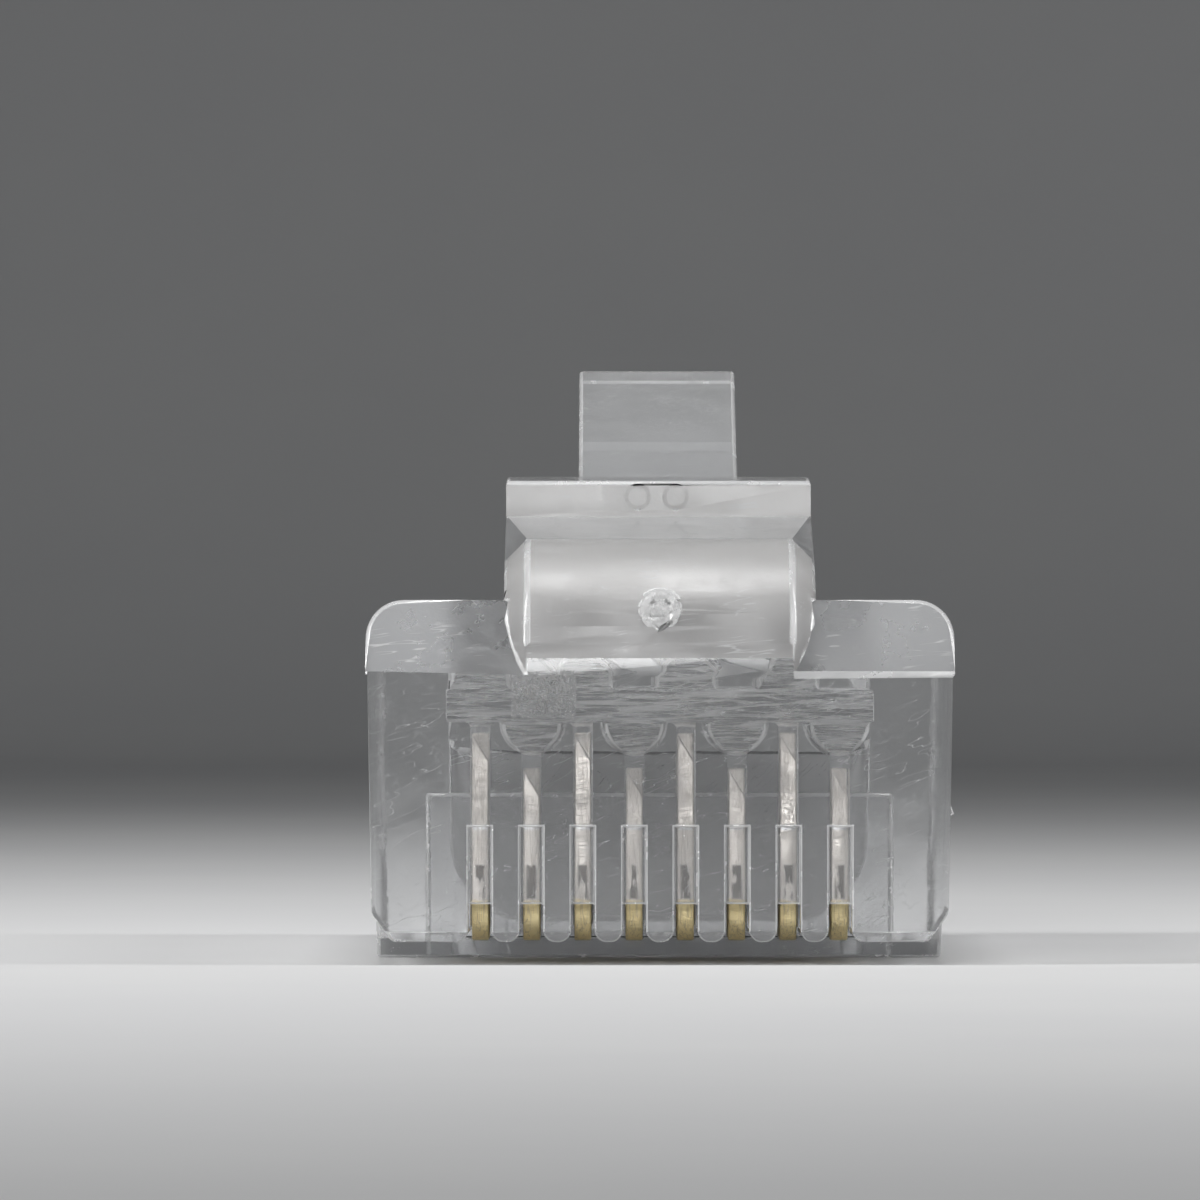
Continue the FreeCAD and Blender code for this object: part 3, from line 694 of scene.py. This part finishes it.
# %% Effect: hairline scratches
def build_hairlines():
    """Thin lines: the bands where a stretched noise passes its middle value."""
    group, source, sink = new_effect("hairlines", {
        "Place": ("Vector", None), "Stretch": ("Vector", (1, 1, 1)), "Turn": ("Vector", (0, 0, 0)),
        "Width": ("Float", 0.01), "Share": ("Float", 0.5)}, ["Mask"])
    turned = add_node(group, "VectorRotate", {"Vector": source["Place"], "Rotation": source["Turn"]},
                      rotation_type="EULER_XYZ").outputs[0]
    stretched = vector_step(group, "MULTIPLY", turned, source["Stretch"])
    pattern = add_node(group, "TexNoise", {"Vector": stretched, "Scale": 1.0, "Detail": 1.5}).outputs[0]
    off_middle = calculate(group, "ABSOLUTE", calculate(group, "SUBTRACT", pattern, 0.5))
    line = remap(group, off_middle, 0.0, source["Width"], 1.0, 0.0)
    patches = add_node(group, "TexNoise", {"Vector": source["Place"], "Scale": 1.7,
                                           "Detail": 1.0}).outputs[0]
    threshold = calculate(group, "SUBTRACT", 0.8, times(group, source["Share"], 0.6))
    here = remap(group, calculate(group, "SUBTRACT", patches, threshold), low=-0.05, high=0.08)
    group.links.new(times(group, line, here), sink["Mask"])
    return group


hairlines = build_hairlines()


# %% Effect: specks of dust and tiny pits
def build_specks():
    """Small round spots, in some of the cells of a Voronoi pattern."""
    group, source, sink = new_effect("specks", {
        "Place": ("Vector", None), "Per mm": ("Float", 3.0), "Size": ("Float", 0.08),
        "Share": ("Float", 0.3)}, ["Mask"])
    cells = add_node(group, "TexVoronoi", {"Vector": source["Place"], "Scale": source["Per mm"]}).outputs
    spot = remap(group, cells["Distance"], 0.0, source["Size"], 1.0, 0.0)
    chance = add_node(group, "SeparateColor", {0: cells["Color"]}).outputs[0]
    chosen = calculate(group, "LESS_THAN", chance, source["Share"])
    group.links.new(times(group, spot, chosen), sink["Mask"])
    return group


specks = build_specks()
print("effects:", [group.name for group in bpy.data.node_groups])


# %% [markdown]
# ## Clear polycarbonate
# The moulding is water-clear plastic, but it never looks like nothing: its skin is slightly wavy, the
# slanted nose and the latch's root come matt from the mould, the cutter that made the wire channels
# left fine level lines on their end wall, and handling adds hairlines and dust. A Principled shader
# with high transmission bends the light as polycarbonate does, at an index of 1.585. All the rest is
# roughness and a fine bump, laid where the real part has it. The little light that isn't transmitted
# scatters at the skin, and stands for the haze inside. A volume shader could give that haze truly, but
# it would take far longer for a plug this small.

# %% A new material
def new_material(name):
    material = bpy.data.materials.new(name)
    material.use_nodes = True
    tree = material.node_tree
    tree.nodes.clear()
    out = tree.nodes.new("ShaderNodeOutputMaterial")
    shader = tree.nodes.new("ShaderNodeBsdfPrincipled")
    tree.links.new(shader.outputs["BSDF"], out.inputs["Surface"])
    return material, tree, shader


def bump(tree, height, depth, below=None):
    """A bump of this depth in metres, laid over another normal if there is one."""
    sockets = {"Height": height, "Strength": 1.0, "Distance": depth}
    if below is not None:
        sockets["Normal"] = below
    return add_node(tree, "Bump", sockets).outputs[0]


# %% The base of every clear finish
INDEX_OF_POLYCARBONATE = 1.585
CLEAR_TINT = (0.90, 0.905, 0.912, 1)
WHITENED = (0.97, 0.97, 0.97, 1)


def polycarbonate(name, clearness):
    """A clear Principled shader. Clearness is the share of light that passes and isn't scattered."""
    material, tree, shader = new_material(name)
    shader.inputs["Transmission Weight"].default_value = clearness
    shader.inputs["IOR"].default_value = INDEX_OF_POLYCARBONATE
    shader.inputs["Base Color"].default_value = CLEAR_TINT
    return material, tree, shader, place_in_mm(tree)


def uneven(tree, patch, smoothest, roughest):
    """A roughness that wanders between two values from patch to patch."""
    return remap(tree, patch, low=0.0, high=1.0, to_low=smoothest, to_high=roughest)


def dress(tree, shader, colour, roughness, normal):
    """Links what changes over the surface to the shader."""
    for name, value in (("Base Color", colour), ("Roughness", roughness), ("Normal", normal)):
        tree.links.new(value, shader.inputs[name])


# %% Polished faces
POLISHED_DEPTH = 0.008 * MM


def polished():
    material, tree, shader, place = polycarbonate("polished_polycarbonate", 0.86)
    moulded = use_effect(tree, skin, Place=place, Waves_per_mm=0.8, Grain_per_mm=9.0,
                         Grain_Share=0.06)
    scratch = use_effect(tree, hairlines, Place=place, Stretch=(0.7, 6, 6), Turn=(0.3, 0.5, 0.8),
                         Width=0.012, Share=0.5)["Mask"]
    dust = use_effect(tree, specks, Place=place, Per_mm=2.6, Size=0.08, Share=0.3)["Mask"]
    rough = uneven(tree, moulded["Patch"], smoothest=0.04, roughest=0.10)
    marks = calculate(tree, "MAXIMUM", times(tree, scratch, 0.2), times(tree, dust, 0.4))
    height = calculate(tree, "SUBTRACT", moulded["Height"], times(tree, scratch, 0.1))
    dress(tree, shader, colour=mix_colours(tree, dust, CLEAR_TINT, WHITENED),
          roughness=calculate(tree, "ADD", rough, marks),
          normal=bump(tree, height, POLISHED_DEPTH))
    return material


# %% [markdown]
# ## Matt and satin faces
# Where the mould was cut by sparks, it leaves a fine even grain. On the slant of the nose the plastic is
# thin and only looks matt. The latch's root is thick and milky, and painted shade darkens its colour
# towards its foot, where it joins the body. One function makes both, with its own numbers for each.

# %% Matt and satin faces
SLANT_TINT = (0.50, 0.505, 0.515, 1)
# Painted shade: the root's colour darkens from its shoulder down to its foot, where it joins the body.
ROOT_TINT, ROOT_PAINTED_SHADE = (0.94, 0.925, 0.91, 1), (0.60, 0.59, 0.585, 1)
FOOT, SHOULDER = 6.00, 7.40


def spark_eroded(name, clearness, tint, smoothest, roughest, depth, shade_tint=None):
    """A dull face from a spark-eroded mould. A second tint is painted shade that darkens its foot."""
    material, tree, shader, place = polycarbonate(name, clearness)
    spark = use_effect(tree, skin, Place=place, Waves_per_mm=1.3, Grain_per_mm=14.0, Grain_Share=0.30)
    scratch = use_effect(tree, hairlines, Place=place, Stretch=(0.8, 6, 7), Turn=(0, 0.12, 0),
                         Width=0.03, Share=0.35)["Mask"]
    height = add_node(tree, "SeparateXYZ", {0: place}).outputs[2]
    # Painted shade: the colour goes from the shade tint at the foot up to the full tint at the shoulder.
    unshaded_share = remap(tree, height, above_comb(FOOT) / MM, above_comb(SHOULDER) / MM)
    ground = mix_colours(tree, unshaded_share, shade_tint or tint, tint)
    dress(tree, shader, colour=mix_colours(tree, scratch, ground, WHITENED),
          roughness=uneven(tree, spark["Patch"], smoothest, roughest),
          normal=bump(tree, spark["Height"], depth))
    return material


# %% [markdown]
# ## The scored end wall
# Seen through the nose, the end wall of the wire channels is the part's most striking surface: level
# lines all across it, some bright and some dark, as the cutter left them. They are hairlines that
# are stretched far along X and turned by a degree, in two widths, and they shape the normal as well
# as the roughness.

# %% The scored end wall
SCORED_GROUND = (0.34, 0.345, 0.355, 1)
SCORED_DEPTH = 0.012 * MM


def scored():
    material, tree, shader, place = polycarbonate("scored_polycarbonate", 0.84)
    coarse = use_effect(tree, hairlines, Place=place, Stretch=(0.45, 1, 6.5), Turn=(0, 0.02, 0),
                        Width=0.07, Share=1.3)["Mask"]
    fine = use_effect(tree, hairlines, Place=place, Stretch=(0.8, 1, 19), Turn=(0, -0.015, 0),
                      Width=0.10, Share=1.3)["Mask"]
    lines = calculate(tree, "MAXIMUM", coarse, times(tree, fine, 0.6))
    moulded = use_effect(tree, skin, Place=place, Waves_per_mm=0.9, Grain_per_mm=12.0,
                         Grain_Share=0.3)
    height = calculate(tree, "SUBTRACT", times(tree, moulded["Height"], 0.4), lines)
    dress(tree, shader, colour=mix_colours(tree, lines, SCORED_GROUND, WHITENED),
          roughness=uneven(tree, lines, smoothest=0.10, roughest=0.45),
          normal=bump(tree, height, SCORED_DEPTH))
    return material


# %% [markdown]
# ## The scuffed nose face
# The flat face of the nose is polished, apart from one crumbled whitish patch just under the parting
# line, where the plastic tore as it left the mould. A soft box marks the patch, and a distorted noise
# breaks it into crumbs with their own height.

# %% The scuffed nose face
SCUFF_CENTRE = (-2.30, nose_y / MM, above_comb(4.92) / MM)
SCUFF_HALF_SIZE = (0.30, 0.1, 0.12)
SCUFFED_DEPTH, CRUMB_HEIGHT = 0.006 * MM, 20.0


def scuffed():
    material, tree, shader, place = polycarbonate("scuffed_polycarbonate", 0.90)
    moulded = use_effect(tree, skin, Place=place, Waves_per_mm=0.8, Grain_per_mm=9.0,
                         Grain_Share=0.08)
    scratch = use_effect(tree, hairlines, Place=place, Stretch=(0.9, 6, 5), Turn=(0, 0.35, 0),
                         Width=0.012, Share=0.6)["Mask"]
    dust = use_effect(tree, specks, Place=place, Per_mm=3.2, Size=0.08, Share=0.4)["Mask"]
    crumbs = add_node(tree, "TexNoise", {"Vector": place, "Scale": 6.0, "Detail": 4.0,
                                         "Roughness": 0.75, "Distortion": 0.3}).outputs[0]
    near = use_effect(tree, zone, Place=place, Centre=SCUFF_CENTRE, Half_Size=SCUFF_HALF_SIZE,
                      Edge=0.45)["Mask"]
    crumbled = times(tree, remap(tree, crumbs, low=0.42, high=0.62),
                     remap(tree, near, low=0.1, high=0.6))
    white = calculate(tree, "MAXIMUM", crumbled, dust)
    marks = times(tree, calculate(tree, "MAXIMUM", scratch, dust), 0.25)
    rough = calculate(tree, "ADD", times(tree, crumbled, 0.45), marks)
    height = calculate(tree, "ADD", moulded["Height"],
                       times(tree, times(tree, crumbs, crumbled), CRUMB_HEIGHT))
    dress(tree, shader, colour=mix_colours(tree, white, CLEAR_TINT, WHITENED),
          roughness=calculate(tree, "ADD", rough, 0.03),
          normal=bump(tree, height, SCUFFED_DEPTH))
    return material


# %% [markdown]
# ## Whitened plastic
# Clear plastic turns white where it is bruised, broken or ground, because the light scatters on its many
# tiny faces. Three places on the plug have such a finish all over. Its handled edges are rubbed, and
# that is the finish of the rounded strips that the bevel made. The broken sprue is torn. The ridges that
# part the wire channels are frosted, and seen from the nose each shows as a bright U. They differ
# only in how much light still passes, and in the size and depth of the grain.

# %% Rubbed, torn and frosted plastic
def whitened(name, clearness, tint, waves, grain, grain_share, smoothest, roughest, depth):
    """Plastic that is bruised all over. Waves and grain are counted in each millimetre."""
    material, tree, shader, place = polycarbonate(name, clearness)
    bruised = use_effect(tree, skin, Place=place, Waves_per_mm=waves, Grain_per_mm=grain,
                         Grain_Share=grain_share)
    dress(tree, shader, colour=mix_colours(tree, bruised["Patch"], tint, WHITENED),
          roughness=uneven(tree, bruised["Patch"], smoothest, roughest),
          normal=bump(tree, bruised["Height"], depth))
    return material


# %% All the finishes, in the order of the material slots
finishes = {
    POLISHED: polished(),
    RUBBED: whitened("rubbed_polycarbonate", clearness=0.50, tint=(0.92, 0.92, 0.925, 1),
                     waves=3.0, grain=16.0, grain_share=0.4,
                     smoothest=0.08, roughest=0.30, depth=0.008 * MM),
    MATT: spark_eroded("matt_polycarbonate", clearness=0.86, tint=SLANT_TINT,
                       smoothest=0.26, roughest=0.40, depth=0.012 * MM),
    SATIN: spark_eroded("satin_polycarbonate", clearness=0.72, tint=ROOT_TINT, shade_tint=ROOT_PAINTED_SHADE,
                        smoothest=0.34, roughest=0.46, depth=0.008 * MM),
    SCORED: scored(),
    SCUFFED: scuffed(),
    TORN: whitened("torn_polycarbonate", clearness=0.40, tint=(0.88, 0.88, 0.88, 1),
                   waves=3.5, grain=12.0, grain_share=0.3,
                   smoothest=0.15, roughest=0.45, depth=0.08 * MM),
    FROSTED: whitened("frosted_polycarbonate", clearness=0.15, tint=(0.90, 0.90, 0.905, 1),
                      waves=2.0, grain=12.0, grain_share=0.4,
                      smoothest=0.30, roughest=0.50, depth=0.010 * MM)}
for piece in (clear_shell, latch_spring):
    for kind in sorted(finishes):
        piece.data.materials.append(finishes[kind])
    used = [face.material_index for face in piece.data.polygons]
    print(piece.name, {finishes[kind].name: used.count(kind) for kind in finishes})


# %% [markdown]
# ## Plated bronze
# A blade is phosphor bronze, silvery pink where it is only nickel plated. Its lower running edge, which
# the springs of the socket slide on, is gold plated. The border between the two is uneven, as it is
# where a strip is dipped. The press leaves short upright marks on the edges, and the sheet has a fine
# rolled grain along it.

# %% The blades' metal
GOLD_UP_TO = 0.80
NICKEL = (0.97, 0.91, 0.84, 1)
GOLD = (1.0, 0.85, 0.50, 1)
TARNISH = (0.30, 0.23, 0.17, 1)
# Painted shade: a near-black, streaky mark in the notch low on every blade.
PAINTED_NOTCH_SHADE = (0.07, 0.05, 0.035, 1)
PITCH = 1.02
BORDER_WAVE, BORDER_SOFT = 0.16, 0.03
ANY_DEPTH = 100.0
NOTCH_SHADE_AT, NOTCH_SHADE_HALF_SIZE = 1.18, (0.06, ANY_DEPTH, 0.30)
STEP_AT, STEP_HALF_SIZE = 2.26, (0.13, ANY_DEPTH, 0.035)
GROOVE_DEPTH, BLOTCH_DEPTH = -0.004 * MM, 0.010 * MM


def place_on_blade(tree, place):
    """The place with X counted from the middle of whichever blade it is on."""
    spot = add_node(tree, "SeparateXYZ", {0: place}).outputs
    folded = calculate(tree, "PINGPONG", spot[0], PITCH / 2)
    aside = calculate(tree, "ABSOLUTE", calculate(tree, "SUBTRACT", folded, PITCH / 4))
    across = calculate(tree, "SUBTRACT", aside, PITCH / 4)
    return add_node(tree, "CombineXYZ", {0: across, 1: spot[1], 2: spot[2]}).outputs[0]


def mark_on_blade(tree, place, height, half_size, edge):
    """A mask for one small mark, at the same height on every blade: the painted notch shade or the step.
    """
    return use_effect(tree, zone, Place=place_on_blade(tree, place), Edge=edge,
                      Centre=(0.0, 0.0, above_comb(height) / MM), Half_Size=half_size)["Mask"]


def gold_plated(tree, place, blotches):
    """1 on the gold of the lower edge and 0 above its wavering border."""
    height = add_node(tree, "SeparateXYZ", {0: place}).outputs[2]
    border = calculate(tree, "ADD", times(tree, blotches, BORDER_WAVE),
                       above_comb(GOLD_UP_TO) / MM - BORDER_WAVE / 2)
    return remap(tree, calculate(tree, "SUBTRACT", height, border), low=-BORDER_SOFT, high=BORDER_SOFT,
                 to_low=1.0, to_high=0.0)


# %% The blades' material
def plated_bronze():
    material, tree, shader = new_material("plated_bronze")
    place = place_in_mm(tree)
    blotches = use_effect(tree, skin, Place=place, Waves_per_mm=1.6, Grain_per_mm=14.0,
                          Grain_Share=0.25)
    press = use_effect(tree, hairlines, Place=place, Stretch=(16, 10, 0.9), Turn=(0, 0.02, 0),
                       Width=0.05, Share=0.8)["Mask"]
    rolled = use_effect(tree, hairlines, Place=place, Stretch=(4, 0.6, 14), Turn=(0.02, 0, 0),
                        Width=0.06, Share=0.9)["Mask"]
    stains = use_effect(tree, specks, Place=place, Per_mm=3.4, Size=0.16, Share=0.3)["Mask"]
    streaks = add_node(tree, "TexNoise", {"Vector": vector_step(tree, "MULTIPLY", place, (9, 1, 2.2)),
                                          "Scale": 1.0, "Detail": 2.0}).outputs[0]
    # Painted shade in the notch low on each blade, broken into streaks.
    notch_shade = times(tree, mark_on_blade(tree, place, NOTCH_SHADE_AT, NOTCH_SHADE_HALF_SIZE, edge=0.07),
                   remap(tree, streaks, low=0.40, high=0.56))
    step_mark = mark_on_blade(tree, place, STEP_AT, STEP_HALF_SIZE, edge=0.03)

    metal = mix_colours(tree, gold_plated(tree, place, blotches["Height"]), NICKEL, GOLD)
    metal = mix_colours(tree, step_mark, metal, WHITENED)
    metal = mix_colours(tree, notch_shade, metal, PAINTED_NOTCH_SHADE)
    dull = calculate(tree, "MAXIMUM", times(tree, stains, 0.55), times(tree, press, 0.35))
    rough = calculate(tree, "ADD", uneven(tree, blotches["Patch"], smoothest=0.42, roughest=0.58),
                      times(tree, stains, 0.2))
    worked = bump(tree, calculate(tree, "MAXIMUM", press, rolled), GROOVE_DEPTH)
    dress(tree, shader, colour=mix_colours(tree, dull, metal, TARNISH), roughness=rough,
          normal=bump(tree, blotches["Height"], BLOTCH_DEPTH, worked))
    shader.inputs["Metallic"].default_value = 1.0
    return material


plating = plated_bronze()
for blade in blades:
    blade.data.materials.clear()
    blade.data.materials.append(plating)
print(plating.name, "on", len(blades), "blades")


# %% [markdown]
# ## The paper
# The plug stands on a sheet of pale paper that curves up behind it, so that no edge shows. The paper
# has a faint fibre, so that its shade isn't dead flat.

# %% Floor and backdrop
SWEEP_WIDTH = 2.0
SWEEP_FRONT, SWEEP_BACK, SWEEP_RISE, SWEEP_RADIUS = -0.30, 0.30, 0.35, 0.08
SWEEP_STEPS = 16
PALE_PAPER, PALE_FIBRE = (0.64, 0.64, 0.645, 1), (0.66, 0.66, 0.66, 1)
FIBRE_DEPTH = 0.02 * MM


def paper_sweep():
    """A flat floor that curves up into a backdrop."""
    profile = [(SWEEP_FRONT, 0.0)]
    for step in range(SWEEP_STEPS + 1):
        turn = math.pi / 2 * step / SWEEP_STEPS
        profile.append((SWEEP_BACK + SWEEP_RADIUS * math.sin(turn),
                        SWEEP_RADIUS * (1 - math.cos(turn))))
    profile.append((SWEEP_BACK + SWEEP_RADIUS, SWEEP_RISE))
    mesh = bmesh.new()
    rows = [[mesh.verts.new((x, y, z)) for x in (-SWEEP_WIDTH / 2, SWEEP_WIDTH / 2)]
            for y, z in profile]
    for low, high in zip(rows, rows[1:]):
        mesh.faces.new((low[0], low[1], high[1], high[0]))
    sweep = object_from(mesh, "paper_sweep")
    sweep.data.shade_smooth()
    return sweep


def paper():
    material, tree, shader = new_material("pale_paper")
    place = place_in_mm(tree)
    fibre = use_effect(tree, skin, Place=place, Waves_per_mm=0.05, Grain_per_mm=2.5, Grain_Share=0.5)
    white = mix_colours(tree, fibre["Patch"], PALE_PAPER, PALE_FIBRE)
    tree.links.new(white, shader.inputs["Base Color"])
    tree.links.new(bump(tree, fibre["Height"], FIBRE_DEPTH), shader.inputs["Normal"])
    shader.inputs["Roughness"].default_value = 0.9
    return material


sweep = paper_sweep()
sweep.data.materials.append(paper())
print("paper:", [round(side, 2) for side in sweep.dimensions], "m")


# %% [markdown]
# ## Light
# Clear plastic is seen by its edges, and bright edges need something darker behind them. So the four
# soft lamps are small and aimed at the plug. They make a pool of light on the paper round it, and
# further back the same paper falls off to grey. Two upright strips at the sides draw the long bright
# lines in the rounded edges, and a faint even light from all round fills the shadows.

# %% Lamps
LAMPS = {
    "top_light": {"place": (0.0, -0.02, 0.26), "size": (0.10, 0.06), "watts": 0.062, "spread": 85},
    "left_strip": {"place": (-0.18, -0.05, 0.15), "size": (0.03, 0.16), "watts": 0.045, "spread": 70},
    "right_strip": {"place": (0.18, -0.02, 0.15), "size": (0.03, 0.16), "watts": 0.030, "spread": 70},
    "front_light": {"place": (-0.06, -0.36, 0.11), "size": (0.22, 0.12), "watts": 0.050, "spread": 44}}
ROOM_COLOUR, ROOM_STRENGTH = (0.92, 0.94, 0.96, 1), 0.13


def soft_light(name, target, place, size, watts, spread):
    """A rectangular lamp that faces its target. Spread is in degrees."""
    data = bpy.data.lights.new(name, "AREA")
    data.shape = "RECTANGLE"
    data.size, data.size_y = size
    data.energy = watts
    data.spread = math.radians(spread)
    light = bpy.data.objects.new(name, data)
    light.location = place
    light.rotation_euler = (Vector(target) - Vector(place)).to_track_quat("-Z", "Y").to_euler()
    bpy.context.scene.collection.objects.link(light)


for name, settings in LAMPS.items():
    soft_light(name, (cad_low + cad_high) / 2, **settings)
    print(name, settings["watts"], "W")

world = bpy.data.worlds.new("room")
bpy.context.scene.world = world
world.use_nodes = True
room_light = world.node_tree.nodes["Background"].inputs
room_light["Color"].default_value = ROOM_COLOUR
room_light["Strength"].default_value = ROOM_STRENGTH


# %% [markdown]
# ## Camera
# The camera looks level at the nose, at the height of the plug's top face and a little to its left.
# It stands 25 cm away, as for a close-up, so the far end of the plug looks only slightly smaller than
# the nose. Light has to pass many clear walls on its way, so it may bend and bounce more often than
# Blender's usual limits allow.

# %% Camera
CAMERA_DISTANCE = 250 * MM
CAMERA_LEFT = 1.19 * MM
CAMERA_HEIGHT = above_comb(TOP_FACE)
VIEW_WIDTH = 23.76 * MM
SENSOR = 36.0
NEAREST = 0.01

camera_data = bpy.data.cameras.new("camera")
camera_data.sensor_width = SENSOR
camera_data.lens = SENSOR * CAMERA_DISTANCE / VIEW_WIDTH
camera_data.clip_start = NEAREST
camera = bpy.data.objects.new("camera", camera_data)
camera.location = (-CAMERA_LEFT, nose_y - CAMERA_DISTANCE, CAMERA_HEIGHT)
camera.rotation_euler = (math.pi / 2, 0, 0)
bpy.context.scene.collection.objects.link(camera)
bpy.context.scene.camera = camera
print("camera:", round(camera_data.lens), "mm lens,", CAMERA_DISTANCE, "m from the nose")

scene = bpy.context.scene
scene.view_settings.view_transform = "Standard"
scene.cycles.max_bounces = 16
scene.cycles.transmission_bounces = 16
scene.cycles.glossy_bounces = 6
